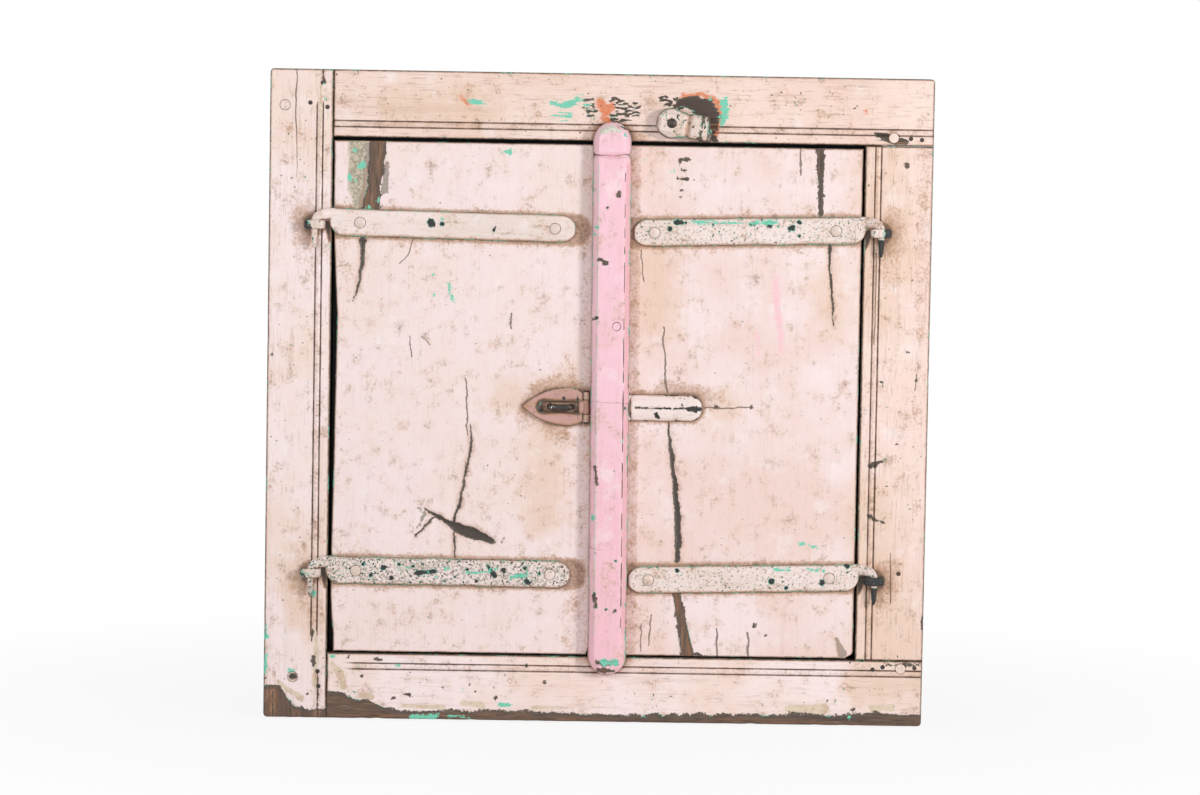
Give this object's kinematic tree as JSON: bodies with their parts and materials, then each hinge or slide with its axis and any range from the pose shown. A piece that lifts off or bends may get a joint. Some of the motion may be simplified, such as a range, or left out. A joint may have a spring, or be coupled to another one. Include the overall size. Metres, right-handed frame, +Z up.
{
  "type": "shutter mirror",
  "caption": "Square wall mirror in a pegged wooden frame, closed by plank shutters on forged strap hinges with a carved cover strip, hasp and turn button.",
  "frame": {"origin": "centre of the backing board's rear face, on the wall plane", "axes": "+X to the right as seen from the front, +Z up, +Y into the wall"},
  "size_m": [0.661, 0.0714, 0.649],
  "materials": {
    "frame_paint": "thick worn oil paint, satin",
    "leaf_paint": "thick worn oil paint, satin",
    "strip_paint": "thick worn oil paint, satin",
    "bare_wood": "bare aged wood",
    "painted_iron": "brush-painted wrought iron, chipped",
    "hasp_paint": "brush-painted wrought iron, worn dull",
    "iron": "bare dark forged iron",
    "zinc": "zinc plated",
    "mirror_glass": "silvered glass"
  },
  "bodies": {
    "frame": {"left_stile": "frame_paint", "right_stile": "frame_paint", "top_rail": "frame_paint", "bottom_rail": "frame_paint", "frame_pegs": "frame_paint", "frame_nails": "iron", "mirror_glass": "mirror_glass", "backing_board": "bare_wood", "backing_screws": "zinc", "left_hanger_plate": "zinc", "right_hanger_plate": "zinc", "hanger_screws": "zinc", "left_upper_staple": "iron", "left_lower_staple": "iron", "right_upper_staple": "iron", "right_lower_staple": "iron", "button_pivot": "iron"},
    "left_leaf": {"left_leaf_board": "leaf_paint", "left_upper_ledge": "bare_wood", "left_lower_ledge": "bare_wood", "left_ledge_nails": "iron", "left_upper_strap": "painted_iron", "left_lower_strap": "painted_iron", "left_rivets": "painted_iron", "hasp_staple": "iron"},
    "right_leaf": {"right_leaf_board": "leaf_paint", "right_upper_ledge": "bare_wood", "right_lower_ledge": "bare_wood", "right_ledge_nails": "iron", "right_upper_strap": "painted_iron", "right_lower_strap": "painted_iron", "right_rivets": "painted_iron", "cover_strip": "strip_paint", "strip_nails": "iron", "hasp_tail": "painted_iron", "hasp_tail_nails": "iron", "hasp_pin": "iron"},
    "hasp": {"hasp_plate": "hasp_paint"},
    "turn_button": {"turn_button_block": "leaf_paint"}
  },
  "joints": [
    {"name": "right_leaf_swing", "type": "hinge", "parent": "frame", "child": "right_leaf", "pos_m": [0.2795, -0.06, 0], "axis": [0, 0, 1], "range_deg": [0, 170]},
    {"name": "left_leaf_swing", "type": "hinge", "parent": "frame", "child": "left_leaf", "pos_m": [-0.2845, -0.06, 0], "axis": [0, 0, -1], "range_deg": [0, 170]},
    {"name": "hasp_lift", "type": "hinge", "parent": "right_leaf", "child": "hasp", "pos_m": [-0.01145, -0.0568, -0.0075], "axis": [0, 0, 1], "range_deg": [0, 95]},
    {"name": "turn_button_turn", "type": "hinge", "parent": "frame", "child": "turn_button", "pos_m": [0.0686, -0.053, 0.2765], "axis": [0, -1, 0], "range_deg": [-100, 100]}
  ],
  "couplings": [
    {"joint": "left_leaf_swing", "follows": "right_leaf_swing", "ratio": 1}
  ]
}
